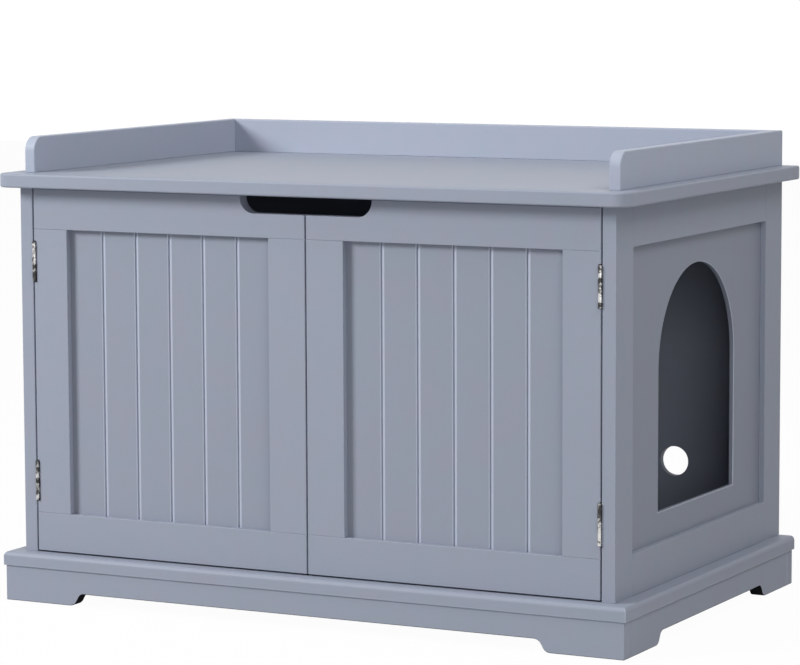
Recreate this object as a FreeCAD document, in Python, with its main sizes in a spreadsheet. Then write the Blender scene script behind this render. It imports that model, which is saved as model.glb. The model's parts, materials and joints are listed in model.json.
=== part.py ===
"""Cat litter box cabinet: a two-door bench cabinet with framed sides and an arched entry.

Millimetres. +Z is up, +X is to the right of someone facing the doors and +Y is to the
back. The origin is on the floor, at the centre of the footprint. In the pieces' own
frames y is measured back from the front of the carcass and z up from the piece's seat.
"""

import FreeCAD, Part
import math
import operator
import os

import Sketcher
from FreeCAD import Rotation, Vector

SHEET = "sizes"

SIZES = [
    # alias, millimetres, meaning
    ("body_width", 840.0, "carcass over the two side frames"),
    ("body_depth", 544.0, "carcass from the doors' face to the back"),
    ("body_height", 476.0, "side frames, from base board to bench top"),
    ("board_thickness", 18.0, "bench top, base board, frames, doors and plinths"),
    ("bench_overhang", 24.0, "bench top past the front and the sides"),
    ("bench_corner_radius", 20.0, "bench top's front corners in plan"),
    ("bench_edge_radius", 2.5, "bench top's eased edges"),
    ("guard_height", 46.0, "guard rails above the bench top"),
    ("guard_thickness", 15.0, "guard rails"),
    ("guard_setback", 12.0, "side guards' front end behind the carcass front"),
    ("guard_corner_radius", 18.0, "side guards' upper front corner"),
    ("guard_edge_radius", 1.5, "guards' eased edges"),
    ("base_side_overhang", 22.0, "base board past each side"),
    ("base_front_overhang", 20.0, "base board past the doors"),
    ("base_round_over", 6.0, "rounded upper edge of the base board"),
    ("plinth_height", 46.0, "plinth boards"),
    ("plinth_inset", 2.5, "plinth behind the base board's edge"),
    ("foot_length", 104.0, "plinth end to the corner of its cut-out"),
    ("bracket_run", 9.0, "slope of the foot's bracket, along the plinth"),
    ("bracket_radius", 11.0, "rounded corners of the bracket"),
    ("cutout_height", 16.0, "cut-out between the feet"),
    ("corner_block", 30.0, "glue blocks inside the plinth's corners"),
    ("corner_block_height", 38.0, "glue blocks' height"),
    ("side_front_stile", 51.0, "side frame's front stile"),
    ("side_rear_stile", 57.0, "side frame's rear stile"),
    ("side_rail", 52.0, "side frame's rails"),
    ("panel_thickness", 6.0, "panels in the frames and doors"),
    ("side_panel_recess", 8.0, "side panel behind the frame's outer face"),
    ("door_panel_recess", 9.0, "door panel behind the door's face"),
    ("groove_depth", 8.0, "groove for panels and tongues"),
    ("groove_clearance", 0.1, "groove wider than its tongue, each side"),
    ("tongue_clearance", 0.4, "tongue shorter than its groove"),
    ("arch_radius", 124.0, "half width and crown of the arched entry"),
    ("arch_crown_margin", 36.0, "side panel left between the entry's crown and the top rail"),
    ("arch_sill", 88.0, "entry's sill above the base board"),
    ("back_thickness", 9.0, "back panel"),
    ("back_rebate", 9.0, "rebate in the rear stiles that holds the back"),
    ("back_clearance", 0.4, "back panel short of its rebates"),
    ("cable_hole_radius", 20.0, "round hole in the back"),
    ("cable_hole_across", 272.0, "cable hole from the middle of the back"),
    ("cable_hole_rise", 91.0, "cable hole above the base board"),
    ("door_gap", 2.0, "gap round and between the doors"),
    ("door_top_rail", 52.0, "doors' top rail"),
    ("door_bottom_rail", 50.0, "doors' bottom rail"),
    ("door_hinge_stile", 50.0, "doors' stile on the hinge side"),
    ("door_meeting_stile", 52.0, "doors' stile in the middle"),
    ("member_edge_radius", 0.8, "eased edges of stiles, rails and plinths"),
    ("plank_count", 6.0, "planks of each beadboard panel"),
    ("bead_width", 4.6, "V groove between planks"),
    ("bead_depth", 2.2, "V groove's depth"),
    ("notch_half_width", 93.0, "finger notch, from the middle to its end"),
    ("notch_depth", 22.0, "finger notch's depth in the top rails"),
    ("notch_radius", 20.0, "finger notch's rounded corner"),
    ("hinge_height", 51.0, "butt hinge"),
    ("hinge_margin", 42.0, "hinge's middle from the door rail above or below it"),
    ("hinge_leaf_width", 17.0, "leaf from the pin's axis to its edge"),
    ("hinge_leaf_thickness", 1.2, "leaf"),
    ("knuckle_radius", 2.6, "hinge barrel"),
    ("knuckle_gap", 0.3, "play between the knuckles"),
    ("pin_radius", 1.4, "hinge pin"),
    ("pin_clearance", 0.05, "running clearance of the pin"),
    ("pin_proud", 0.3, "pin's ends beyond the knuckles"),
    ("axis_ahead", 0.8, "pin's axis in front of the doors' face"),
    ("mortise_clearance", 1.2, "hinge mortise longer than the hinge, each end"),
    ("mortise_radius", 1.2, "hinge mortise's rounded corners"),
    ("hinge_screw_spacing", 17.0, "between the screws of a leaf"),
    ("hinge_screw_reach", 11.0, "screws' line from the pin's axis"),
    ("hinge_screw_length", 12.0, "hinge and catch screws under the head"),
    ("small_screw_radius", 1.5, "hinge and catch screws' shank"),
    ("small_head_radius", 2.6, "hinge and catch screws' head"),
    ("pilot_clearance", 0.1, "hole wider and deeper than its screw, dowel or bolt"),
    ("guard_screw_radius", 2.0, "screws that hold the guards"),
    ("guard_head_radius", 4.0, "guard and back screws' head"),
    ("guard_screw_length", 40.0, "guard screws"),
    ("guard_screw_margin", 60.0, "guard screws from the ends of a guard"),
    ("back_screw_length", 20.0, "back screws"),
    ("back_screw_margin", 60.0, "back screws from the ends of the back"),
    ("dowel_radius", 4.0, "dowels of the side frames"),
    ("dowel_length", 28.0, "dowels"),
    ("dowel_chamfer", 1.0, "dowels' chamfered ends"),
    ("dowel_in_board", 12.0, "part of a dowel in the bench top or base board"),
    ("cam_radius", 7.5, "cam locks"),
    ("cam_depth", 12.4, "cam locks"),
    ("cam_reach", 24.0, "cam lock's centre from the rail's end face"),
    ("cam_margin", 40.0, "cam locks from the ends of their rail"),
    ("cam_bolt_radius", 3.5, "cam bolts' shank"),
    ("cam_thread_radius", 2.5, "cam bolts' thread"),
    ("cam_thread_length", 11.0, "cam bolts' thread"),
    ("catch_across", 122.0, "magnetic catches from the middle"),
    ("catch_width", 46.0, "catch from end to end of its foot"),
    ("catch_case_width", 26.0, "catch's case"),
    ("catch_depth", 14.0, "catch, front to back"),
    ("catch_drop", 14.0, "catch below the bench top"),
    ("catch_foot_thickness", 2.5, "catch's screw lugs"),
    ("pole_thickness", 1.4, "catch's steel poles"),
    ("pole_spacing", 6.0, "between the poles"),
    ("pole_reach", 0.8, "poles in front of the case"),
    ("pole_depth", 8.0, "poles' length inside the case"),
    ("pole_width", 20.0, "poles, side to side"),
    ("strike_gap", 0.3, "catch's poles to the strike plate"),
    ("strike_width", 32.0, "strike plate"),
    ("strike_height", 11.0, "strike plate"),
    ("strike_thickness", 1.2, "strike plate"),
]

OPERATIONS = {"+": operator.add, "-": operator.sub, "*": operator.mul, "/": operator.truediv}
PLANES = {"x": "YZ_Plane", "y": "XZ_Plane", "z": "XY_Plane"}
NEAR = 0.01
KNUCKLES = 6
HINGE_SCREWS = (-1, 0, 1)
REAR_GUARD_SCREWS = (-1, -0.5, 0, 0.5, 1)
BOTH_ENDS = (-1, 1)
SCREW_POINT = 1.5
SCREW_TIP = 0.2
SIDES = {"left": -1, "right": 1}


class Size:
    """A length as its present number and as the sheet expression that gives it."""

    def __init__(self, value, text):
        self.value = value
        self.text = text

    def __add__(self, other):
        return combine(self, "+", other)

    def __radd__(self, other):
        return combine(other, "+", self)

    def __sub__(self, other):
        return combine(self, "-", other)

    def __rsub__(self, other):
        return combine(other, "-", self)

    def __mul__(self, other):
        return combine(self, "*", other)

    def __rmul__(self, other):
        return combine(other, "*", self)

    def __truediv__(self, other):
        return combine(self, "/", other)

    def __neg__(self):
        return combine(0, "-", self)


def as_size(number):
    """A plain number as a Size."""
    if isinstance(number, Size):
        return number
    return Size(float(number), "(%s)" % number)


def combine(left, sign, right):
    """Two sizes joined by one arithmetic sign."""
    left = as_size(left)
    right = as_size(right)
    value = OPERATIONS[sign](left.value, right.value)
    return Size(value, "(%s %s %s)" % (left.text, sign, right.text))


doc = FreeCAD.newDocument("litter_cabinet")
sheet = doc.addObject("Spreadsheet::Sheet", SHEET)
size = {}
for row, (alias, millimetres, meaning) in enumerate(SIZES, start=1):
    sheet.set("A%d" % row, meaning)
    sheet.set("B%d" % row, str(millimetres))
    sheet.setAlias("B%d" % row, alias)
doc.recompute()
for alias, millimetres, meaning in SIZES:
    size[alias] = Size(float(sheet.get(alias)), SHEET + "." + alias)

subparts = []

# Levels and planes that many pieces share
nought = as_size(0)
board = size["board_thickness"]
height = size["body_height"]
depth = size["body_depth"]
half_body = size["body_width"] / 2
post_face = half_body - board
body_front = (size["bench_overhang"] - depth) / 2
base_top = size["plinth_height"] + board
bench_under = base_top + height
bench_upper = bench_under + board
tongue = size["groove_depth"] - size["tongue_clearance"]
carcass = (nought, body_front, base_top)

# Side frames, y from the carcass front and z from the base board
front_stile_end = size["side_front_stile"]
rear_stile_start = depth - size["side_rear_stile"]
side_panel_outer = half_body - size["side_panel_recess"]
side_panel_inner = side_panel_outer - size["panel_thickness"]
top_rail_low = height - size["side_rail"]
frame_middle = half_body - board / 2

# Doors, x from the middle of the cabinet
door_edge = post_face - size["door_gap"]
door_meeting = size["door_gap"] / 2
door_low = size["door_gap"]
door_high = height - size["door_gap"]
door_rail_low = door_high - size["door_top_rail"]
door_rail_high = door_low + size["door_bottom_rail"]
door_panel_front = size["door_panel_recess"]
door_panel_back = door_panel_front + size["panel_thickness"]
notch_low = door_high - size["notch_depth"]

# Hinges
axis_across = post_face - size["knuckle_radius"]
axis_back = -size["axis_ahead"]
mortise_floor = axis_across - size["knuckle_radius"]
knuckle_length = size["hinge_height"] / KNUCKLES
hinge_levels = {
    "upper": door_rail_low - size["hinge_margin"],
    "lower": door_rail_high + size["hinge_margin"],
}
hinge_screw_back = axis_back + size["hinge_screw_reach"]

# Fasteners of the carcass
cam_backs = (front_stile_end + size["cam_margin"], rear_stile_start - size["cam_margin"])
dowel_backs = (front_stile_end / 2, (rear_stile_start + depth) / 2)
guard_screw_backs = (
    size["guard_setback"] + size["guard_screw_margin"],
    (size["guard_setback"] + depth) / 2,
    depth - size["guard_screw_margin"],
)
guard_middle = half_body - size["guard_thickness"] / 2
rear_guard_back = depth - size["guard_thickness"] / 2
rear_guard_screws = guard_middle - size["guard_screw_margin"]
back_screw_across = post_face + size["back_rebate"] / 2
back_screw_rises = (
    size["back_screw_margin"],
    height / 2,
    height - size["back_screw_margin"],
)

# Catches
pole_front = board + size["strike_thickness"] + size["strike_gap"]
catch_front = pole_front + size["pole_reach"]
catch_back = catch_front + size["catch_depth"]
catch_middle_back = (catch_front + catch_back) / 2
catch_case_high = height - size["catch_foot_thickness"]
catch_case_low = height - size["catch_drop"]
strike_middle = (catch_case_high + catch_case_low) / 2
catch_screw_offset = (size["catch_width"] + size["catch_case_width"]) / 4

# Holes for fasteners
pilot_radius = size["small_screw_radius"] + size["pilot_clearance"]
guard_pilot_radius = size["guard_screw_radius"] + size["pilot_clearance"]
dowel_bore = size["dowel_radius"] + size["pilot_clearance"]
dowel_in_frame = size["dowel_length"] - size["dowel_in_board"]


# ---- Bodies, sketches and features --------------------------------------------------


def new_body(name, place):
    """An empty body whose placement follows the sheet."""
    body = doc.addObject("PartDesign::Body", name)
    body.Label = name
    for axis, distance in zip("xyz", place):
        body.setExpression("Placement.Base." + axis, distance.text)
    subparts.append(body)
    return body


def new_sketch(body, axis, level):
    """A sketch square to an axis, at a level along that axis."""
    role = PLANES[axis]
    planes = [feature for feature in body.Origin.OriginFeatures if feature.Role == role]
    sketch = body.newObject("Sketcher::SketchObject", body.Name + "_sketch")
    sketch.AttachmentSupport = [(planes[0], "")]
    sketch.MapMode = "FlatFace"
    offset = -level if axis == "y" else as_size(level)
    sketch.setExpression("AttachmentOffset.Base.z", offset.text)
    return sketch


def bind(sketch, constraint, distance):
    """Adds a dimension and ties it to the sheet."""
    index = sketch.addConstraint(constraint)
    sketch.setExpression("Constraints[%d]" % index, distance.text)


def pin_point(sketch, geometry, point, across, up):
    """Dimensions a point of a sketch from the sketch's origin."""
    bind(sketch, Sketcher.Constraint("DistanceX", -1, 1, geometry, point, across.value), across)
    bind(sketch, Sketcher.Constraint("DistanceY", -1, 1, geometry, point, up.value), up)


def draw_outline(sketch, corners):
    """A closed outline of straight lines, each corner dimensioned from the origin."""
    corners = [(as_size(across), as_size(up)) for across, up in corners]
    points = [Vector(across.value, up.value, 0) for across, up in corners]
    first = sketch.GeometryCount
    count = len(corners)
    for index in range(count):
        line = Part.LineSegment(points[index], points[(index + 1) % count])
        sketch.addGeometry(line, False)
    for index in range(count):
        after = first + (index + 1) % count
        sketch.addConstraint(Sketcher.Constraint("Coincident", first + index, 2, after, 1))
    for index, (across, up) in enumerate(corners):
        pin_point(sketch, first + index, 1, across, up)


def draw_circle(sketch, across, up, radius):
    """A circle with its centre and radius dimensioned."""
    centre = Vector(across.value, up.value, 0)
    circle = sketch.addGeometry(Part.Circle(centre, Vector(0, 0, 1), radius.value), False)
    pin_point(sketch, circle, 3, across, up)
    bind(sketch, Sketcher.Constraint("Radius", circle, radius.value), radius)


def rectangle(across, up):
    """Corners of a rectangle from its two spans."""
    return [
        (across[0], up[0]),
        (across[1], up[0]),
        (across[1], up[1]),
        (across[0], up[1]),
    ]


def ordered(span):
    """A span with its lower end first."""
    start, end = (as_size(limit) for limit in span)
    return (end, start) if start.value > end.value else (start, end)


def extrude(body, kind, axis, sketch, span):
    """A pad or pocket along an axis over a span, checked by the volume that it changes."""
    start, end = span
    before = body.Shape.Volume if body.Tip else 0.0
    feature = body.newObject("PartDesign::" + kind, body.Name + "_" + kind.lower())
    feature.Profile = sketch
    feature.setExpression("Length", (end - start).text)
    feature.Reversed = (axis == "y") == (kind == "Pad")
    doc.recompute()
    change = body.Shape.Volume - before
    if (kind == "Pad") != (change > 0) or change == 0:
        raise RuntimeError("%s of %s changed the volume by %.1f" % (kind, body.Name, change))
    return feature


def add_prism(body, axis, corners, span):
    """Adds a straight-sided prism that runs along an axis over a span."""
    span = ordered(span)
    sketch = new_sketch(body, axis, span[0])
    draw_outline(sketch, corners)
    return extrude(body, "Pad", axis, sketch, span)


def cut_prism(body, axis, corners, span):
    """Cuts a straight-sided prism that runs along an axis over a span."""
    span = ordered(span)
    sketch = new_sketch(body, axis, span[0])
    draw_outline(sketch, corners)
    return extrude(body, "Pocket", axis, sketch, span)


def add_discs(body, axis, centres, radius, span):
    """Adds round bars of one radius along an axis over a span."""
    span = ordered(span)
    sketch = new_sketch(body, axis, span[0])
    for across, up in centres:
        draw_circle(sketch, as_size(across), as_size(up), radius)
    return extrude(body, "Pad", axis, sketch, span)


def cut_holes(body, axis, centres, radius, span):
    """Cuts round holes of one radius along an axis over a span."""
    span = ordered(span)
    sketch = new_sketch(body, axis, span[0])
    for across, up in centres:
        draw_circle(sketch, as_size(across), as_size(up), radius)
    return extrude(body, "Pocket", axis, sketch, span)


def add_box(body, across, back, up):
    """Adds a rectangular block from its spans along X, Y and Z."""
    return add_prism(body, "z", rectangle(across, back), up)


def cut_box(body, across, back, up):
    """Cuts a rectangular space from its spans along X, Y and Z."""
    return cut_prism(body, "z", rectangle(across, back), up)


def parallel(edge, axis):
    """Whether an edge is straight and lies along an axis."""
    if not isinstance(edge.Curve, Part.Line):
        return False
    return abs(abs(getattr(edge.Curve.Direction, axis)) - 1) < NEAR


def in_plane(edge, axis, level):
    """Whether the whole of an edge lies at one level of an axis."""
    box = edge.BoundBox
    low = getattr(box, axis.upper() + "Min")
    high = getattr(box, axis.upper() + "Max")
    return abs(low - level.value) < NEAR and abs(high - level.value) < NEAR


def finish_edges(body, kind, radius, chosen):
    """Rounds or chamfers the edges that a test chooses, in the body's own frame."""
    doc.recompute()
    base = body.Tip
    names = []
    for number, edge in enumerate(base.Shape.Edges, start=1):
        if chosen(edge):
            names.append("Edge%d" % number)
    if not names:
        raise RuntimeError("no edge of %s to finish" % body.Name)
    feature = body.newObject("PartDesign::" + kind, body.Name + "_" + kind.lower())
    feature.Base = (base, names)
    feature.setExpression("Radius" if kind == "Fillet" else "Size", radius.text)
    doc.recompute()
    return feature


def cone(base_radius, end_radius, length, start):
    """A cone along +Z."""
    return Part.makeCone(base_radius, end_radius, length, Vector(0, 0, start))


def screw_shape(head_radius, shank_radius, length, head_height):
    """A countersunk screw that points along +Z, with its head's flat at z = 0."""
    tip = shank_radius * SCREW_POINT
    head = cone(head_radius, shank_radius, head_height, 0)
    shank = Part.makeCylinder(shank_radius, length - head_height - tip, Vector(0, 0, head_height))
    point = cone(shank_radius, shank_radius * SCREW_TIP, tip, length - tip)
    return head.fuse([shank, point]).removeSplitter()


def fastener_group(name, shape, places):
    """Identical fasteners in one piece: a copy of the shape at each point and direction."""
    copies = []
    for point, direction in places:
        fastener = shape.copy()
        at_point = Vector(*[as_size(distance).value for distance in point])
        fastener.Placement = FreeCAD.Placement(at_point, Rotation(Vector(0, 0, 1), Vector(*direction)))
        copies.append(fastener)
    group = doc.addObject("Part::Feature", name)
    group.Label = name
    group.Shape = Part.makeCompound(copies)
    group.Placement = FreeCAD.Placement(Vector(*[part.value for part in carcass]), Rotation())
    subparts.append(group)
    return group


def countersink(body, axis, centres, head_radius, shank_radius, face, inward):
    """Conical seats for screw heads, narrowing from a face in the direction inward."""
    sketch = new_sketch(body, axis, face)
    for across, up in centres:
        draw_circle(sketch, as_size(across), as_size(up), head_radius)
    before = body.Shape.Volume
    pocket = body.newObject("PartDesign::Pocket", body.Name + "_countersink")
    pocket.Profile = sketch
    pocket.setExpression("Length", (head_radius - shank_radius).text)
    pocket.TaperAngle = -45
    pocket.Reversed = (axis == "y") == (inward < 0)
    doc.recompute()
    if body.Shape.Volume >= before:
        raise RuntimeError("countersink of %s cut nothing" % body.Name)


# ---- Where fasteners go: pairs in the plane of the board, from the carcass origin ----


def both_sides(across, backs):
    """Points at the same distances back on both sides of the middle."""
    return [(side * across, back) for side in SIDES.values() for back in backs]


cam_marks = both_sides(frame_middle, cam_backs)
dowel_marks = both_sides(frame_middle, dowel_backs)
side_guard_marks = both_sides(guard_middle, guard_screw_backs)
rear_guard_marks = [(rear_guard_screws * part, rear_guard_back) for part in REAR_GUARD_SCREWS]
catch_marks = [
    (side * size["catch_across"] + offset * catch_screw_offset, catch_middle_back)
    for side in SIDES.values()
    for offset in BOTH_ENDS
]
hinge_marks = [
    (hinge_screw_back, level + step * size["hinge_screw_spacing"])
    for level in hinge_levels.values()
    for step in HINGE_SCREWS
]


# ---- Bench top and guard rails ------------------------------------------------------


def make_bench_top():
    """The board that closes the cabinet and serves as a bench, its corners rounded in front."""
    body = new_body("bench_top", (nought, body_front, bench_under))
    half = half_body + size["bench_overhang"]
    front = -size["bench_overhang"]
    add_box(body, (-half, half), (front, depth), (nought, board))
    finish_edges(
        body,
        "Fillet",
        size["bench_corner_radius"],
        lambda edge: parallel(edge, "z") and in_plane(edge, "y", front),
    )
    finish_edges(
        body,
        "Fillet",
        size["bench_edge_radius"],
        lambda edge: (in_plane(edge, "z", board) or in_plane(edge, "z", nought))
        and not in_plane(edge, "y", depth),
    )
    clearance = size["pilot_clearance"]
    bolt_bore = size["cam_thread_radius"] + clearance
    cut_holes(body, "z", cam_marks, bolt_bore, (nought, size["cam_thread_length"] + clearance))
    cut_holes(body, "z", dowel_marks, dowel_bore, (nought, size["dowel_in_board"]))
    screw_in_board = size["hinge_screw_length"] - size["catch_foot_thickness"] + clearance
    cut_holes(body, "z", catch_marks, pilot_radius, (nought, screw_in_board))
    guard_marks = side_guard_marks + rear_guard_marks
    cut_holes(body, "z", guard_marks, guard_pilot_radius, (nought, board))
    countersink(body, "z", guard_marks, size["guard_head_radius"], guard_pilot_radius, nought, 1)


def make_side_guard(name, side):
    """A guard rail along one side of the bench top, rounded at its upper front corner."""
    body = new_body(name + "_guard_rail", (nought, body_front, bench_upper))
    outer = side * half_body
    inner = side * (half_body - size["guard_thickness"])
    top = size["guard_height"]
    front = size["guard_setback"]
    add_prism(body, "x", rectangle((front, depth), (nought, top)), (inner, outer))
    finish_edges(
        body,
        "Fillet",
        size["guard_corner_radius"],
        lambda edge: parallel(edge, "x") and in_plane(edge, "y", front) and in_plane(edge, "z", top),
    )
    finish_edges(
        body,
        "Fillet",
        size["guard_edge_radius"],
        lambda edge: (in_plane(edge, "x", outer) or in_plane(edge, "x", inner))
        and not in_plane(edge, "z", nought)
        and not in_plane(edge, "y", depth),
    )
    marks = [(side * guard_middle, back) for back in guard_screw_backs]
    reach = size["guard_screw_length"] - board + size["pilot_clearance"]
    cut_holes(body, "z", marks, guard_pilot_radius, (nought, reach))


def make_rear_guard():
    """The guard rail along the back, between the two side guards."""
    body = new_body("rear_guard_rail", (nought, body_front, bench_upper))
    half = half_body - size["guard_thickness"]
    top = size["guard_height"]
    add_box(body, (-half, half), (depth - size["guard_thickness"], depth), (nought, top))
    finish_edges(
        body,
        "Fillet",
        size["guard_edge_radius"],
        lambda edge: parallel(edge, "x") and in_plane(edge, "z", top),
    )
    reach = size["guard_screw_length"] - board + size["pilot_clearance"]
    cut_holes(body, "z", rear_guard_marks, guard_pilot_radius, (nought, reach))


# ---- Base board and plinth ----------------------------------------------------------


def make_base_board():
    """The cabinet's floor, with a rounded upper edge that shows as a moulding."""
    body = new_body("base_board", (nought, body_front, size["plinth_height"]))
    half = half_body + size["base_side_overhang"]
    add_box(body, (-half, half), (-size["base_front_overhang"], depth), (nought, board))
    finish_edges(
        body,
        "Fillet",
        size["base_round_over"],
        lambda edge: in_plane(edge, "z", board) and not in_plane(edge, "y", depth),
    )
    bolt_low = board - size["cam_thread_length"] - size["pilot_clearance"]
    dowel_low = board - size["dowel_in_board"]
    bolt_bore = size["cam_thread_radius"] + size["pilot_clearance"]
    cut_holes(body, "z", cam_marks, bolt_bore, (bolt_low, board))
    cut_holes(body, "z", dowel_marks, dowel_bore, (dowel_low, board))


plinth_half = half_body + size["base_side_overhang"] - size["plinth_inset"]
plinth_front = size["plinth_inset"] - size["base_front_overhang"]
plinth_rear = depth - size["plinth_inset"]


def bracket_outline(start, end, foot):
    """A plinth board's face: two bracket feet with a low cut-out between them."""
    top = size["plinth_height"]
    cutout = size["cutout_height"]
    run = size["bracket_run"]
    return [
        (start, nought),
        (start + foot, nought),
        (start + foot + run, cutout),
        (end - foot - run, cutout),
        (end - foot, nought),
        (end, nought),
        (end, top),
        (start, top),
    ]


def finish_plinth(body, run_axis, thickness_axis, start, end, outer):
    """Rounds a plinth's bracket feet and eases its upright outer corners."""
    top = size["plinth_height"]

    def on_bracket(edge):
        between = start.value + NEAR < getattr(edge.CenterOfMass, run_axis) < end.value - NEAR
        return parallel(edge, thickness_axis) and between and edge.CenterOfMass.z < top.value - NEAR

    finish_edges(body, "Fillet", size["bracket_radius"], on_bracket)
    finish_edges(
        body,
        "Fillet",
        size["member_edge_radius"],
        lambda edge: parallel(edge, "z") and in_plane(edge, thickness_axis, outer),
    )


def make_long_plinth(name, outer, inner):
    """The front or rear plinth, the full width of the base."""
    body = new_body(name, (nought, body_front, nought))
    add_prism(body, "y", bracket_outline(-plinth_half, plinth_half, size["foot_length"]), (outer, inner))
    finish_plinth(body, "x", "y", -plinth_half, plinth_half, outer)


def make_side_plinth(name, side):
    """A side plinth, between the front and rear ones."""
    body = new_body(name + "_plinth", (nought, body_front, nought))
    start = plinth_front + board
    end = plinth_rear - board
    outer = side * plinth_half
    outline = bracket_outline(start, end, size["foot_length"] - board)
    add_prism(body, "x", outline, (outer, side * (plinth_half - board)))
    finish_plinth(body, "y", "x", start, end, outer)


def make_corner_blocks():
    """Three-cornered glue blocks that tie the plinth boards to the base board."""
    body = new_body("plinth_corner_blocks", (nought, body_front, nought))
    top = size["plinth_height"]
    low = top - size["corner_block_height"]
    leg = size["corner_block"]
    sketch = new_sketch(body, "z", low)
    for side in SIDES.values():
        for inner, inward in ((plinth_front + board, 1), (plinth_rear - board, -1)):
            corner = side * (plinth_half - board)
            legs = [(corner - side * leg, inner), (corner, inner + inward * leg)]
            draw_outline(sketch, [(corner, inner)] + legs)
    extrude(body, "Pad", "z", sketch, (low, top))


# ---- Side frames --------------------------------------------------------------------


def groove_span(outer, inner):
    """A panel's thickness with the groove's clearance on both faces."""
    return (outer + size["groove_clearance"], inner - size["groove_clearance"])


def cut_frame_dowels(body, side, back):
    """Dowel holes in both ends of a side frame's stile."""
    marks = [(side * frame_middle, back)]
    bore = dowel_in_frame + size["pilot_clearance"]
    cut_holes(body, "z", marks, dowel_bore, (nought, bore))
    cut_holes(body, "z", marks, dowel_bore, (height - bore, height))


def make_front_stile(name, side):
    """A side frame's front stile, which also carries a door's hinges."""
    body = new_body(name + "_front_stile", carcass)
    outer, inner = side * half_body, side * post_face
    add_box(body, (inner, outer), (nought, front_stile_end), (nought, height))
    finish_edges(
        body,
        "Fillet",
        size["member_edge_radius"],
        lambda edge: parallel(edge, "z") and (in_plane(edge, "y", nought) or in_plane(edge, "x", outer)),
    )
    groove = groove_span(side_panel_outer, side_panel_inner)
    across = (side * groove[0], side * groove[1])
    cut_box(body, across, (front_stile_end - size["groove_depth"], front_stile_end), (nought, height))
    cut_frame_dowels(body, side, dowel_backs[0])
    screw_bed = size["hinge_screw_length"] - size["hinge_leaf_thickness"] + size["pilot_clearance"]
    cut_holes(body, "x", hinge_marks, pilot_radius, (inner, side * (post_face + screw_bed)))


def make_rear_stile(name, side):
    """A side frame's rear stile, rebated for the back panel."""
    body = new_body(name + "_rear_stile", carcass)
    outer, inner = side * half_body, side * post_face
    add_box(body, (inner, outer), (rear_stile_start, depth), (nought, height))
    finish_edges(
        body,
        "Fillet",
        size["member_edge_radius"],
        lambda edge: parallel(edge, "z") and in_plane(edge, "x", outer),
    )
    groove = groove_span(side_panel_outer, side_panel_inner)
    across = (side * groove[0], side * groove[1])
    cut_box(body, across, (rear_stile_start, rear_stile_start + size["groove_depth"]), (nought, height))
    rebate = (inner, side * (post_face + size["back_rebate"]))
    cut_box(body, rebate, (depth - size["back_thickness"], depth), (nought, height))
    cut_frame_dowels(body, side, dowel_backs[1])
    marks = [(side * back_screw_across, rise) for rise in back_screw_rises]
    screw_end = depth - size["back_screw_length"] - size["pilot_clearance"]
    cut_holes(body, "y", marks, guard_pilot_radius, (screw_end, depth - size["back_thickness"]))


def make_side_rail(name, side, which):
    """A side frame's top or bottom rail, with tongues in the stiles and bores for its cams."""
    body = new_body("%s_side_%s_rail" % (name, which), carcass)
    outer, inner = side * half_body, side * post_face
    at_top = which == "top"
    low, high = (top_rail_low, height) if at_top else (nought, size["side_rail"])
    panel_edge = low if at_top else high
    groove_end = panel_edge + size["groove_depth"] * (1 if at_top else -1)
    board_face = height if at_top else nought
    cam_level = board_face - size["cam_reach"] * (1 if at_top else -1)
    add_box(body, (inner, outer), (front_stile_end, rear_stile_start), (low, high))
    finish_edges(
        body,
        "Fillet",
        size["member_edge_radius"],
        lambda edge: in_plane(edge, "x", outer),
    )
    tongue_backs = (front_stile_end - tongue, rear_stile_start + tongue)
    add_box(body, (side * side_panel_inner, side * side_panel_outer), tongue_backs, (low, high))
    groove = groove_span(side_panel_outer, side_panel_inner)
    across = (side * groove[0], side * groove[1])
    cut_box(body, across, tongue_backs, ordered((panel_edge, groove_end)))
    cam_bore = size["cam_radius"] + size["pilot_clearance"]
    cam_centres = [(back, cam_level) for back in cam_backs]
    cam_end = side * (post_face + size["cam_depth"])
    cut_holes(body, "x", cam_centres, cam_bore, (inner, cam_end))
    bolt_marks = [(side * frame_middle, back) for back in cam_backs]
    bolt_bore = size["cam_bolt_radius"] + size["pilot_clearance"]
    cut_holes(body, "z", bolt_marks, bolt_bore, (cam_level, board_face))


def make_side_panel(name, side, arched):
    """A side frame's thin panel, with the arched entry on one side only."""
    body = new_body(name + "_side_panel", carcass)
    across = (side * side_panel_inner, side * side_panel_outer)
    backs = (front_stile_end - tongue, rear_stile_start + tongue)
    add_box(body, across, backs, (size["side_rail"] - size["groove_depth"], top_rail_low + tongue))
    if arched:
        cut_arch(body, ordered(across))


def cut_arch(body, across):
    """The entry: straight jambs from a level sill under a half-round crown."""
    radius = size["arch_radius"]
    sill = size["arch_sill"]
    spring = top_rail_low - size["arch_crown_margin"] - radius
    middle = depth / 2
    front, rear = middle - radius, middle + radius
    corners = [(front, spring), (front, sill), (rear, sill), (rear, spring)]
    points = [Vector(back.value, up.value, 0) for back, up in corners]
    centre = Vector(middle.value, spring.value, 0)
    sketch = new_sketch(body, "x", across[0])
    for start, end in zip(points, points[1:]):
        sketch.addGeometry(Part.LineSegment(start, end), False)
    circle = Part.Circle(centre, Vector(0, 0, 1), radius.value)
    crown = sketch.addGeometry(Part.ArcOfCircle(circle, 0, math.pi), False)
    for line in (0, 1):
        sketch.addConstraint(Sketcher.Constraint("Coincident", line, 2, line + 1, 1))
    sketch.addConstraint(Sketcher.Constraint("Coincident", 2, 2, crown, 1))
    sketch.addConstraint(Sketcher.Constraint("Coincident", crown, 2, 0, 1))
    for line in (0, 1, 2):
        pin_point(sketch, line, 1, *corners[line])
    pin_point(sketch, 2, 2, *corners[3])
    bind(sketch, Sketcher.Constraint("DistanceY", -1, 1, crown, 3, spring.value), spring)
    extrude(body, "Pocket", "x", sketch, across)


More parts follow.
